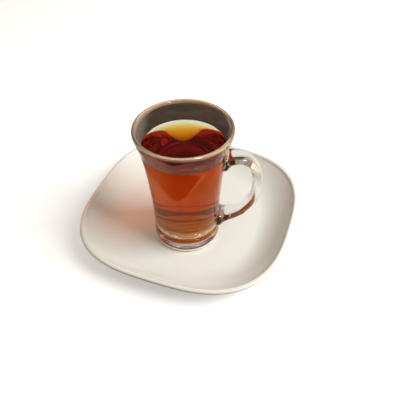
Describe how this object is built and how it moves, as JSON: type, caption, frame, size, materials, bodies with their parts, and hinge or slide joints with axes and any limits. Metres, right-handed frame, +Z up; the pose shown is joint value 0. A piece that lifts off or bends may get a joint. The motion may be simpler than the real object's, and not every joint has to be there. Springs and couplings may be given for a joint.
{
  "type": "glass mug of tea on a saucer",
  "caption": "Footed, flared clear glass mug with an ear handle, filled with black tea, standing on a rounded-square white saucer.",
  "frame": {"origin": "centre under the saucer, at the height of the table", "axes": "+Z up; X and Y along the saucer's two pairs of sides; the handle points 15.3 degrees from +X towards +Y"},
  "size_m": [0.177, 0.177, 0.1126],
  "materials": {
    "saucer_glaze": "smooth warm white glaze on fired clay",
    "clear_glass": "polished pressed clear glass",
    "tea": "still clear black tea, red-brown in depth"
  },
  "bodies": {
    "root": {"saucer": "saucer_glaze", "glass": "clear_glass", "tea": "tea"}
  },
  "joints": []
}
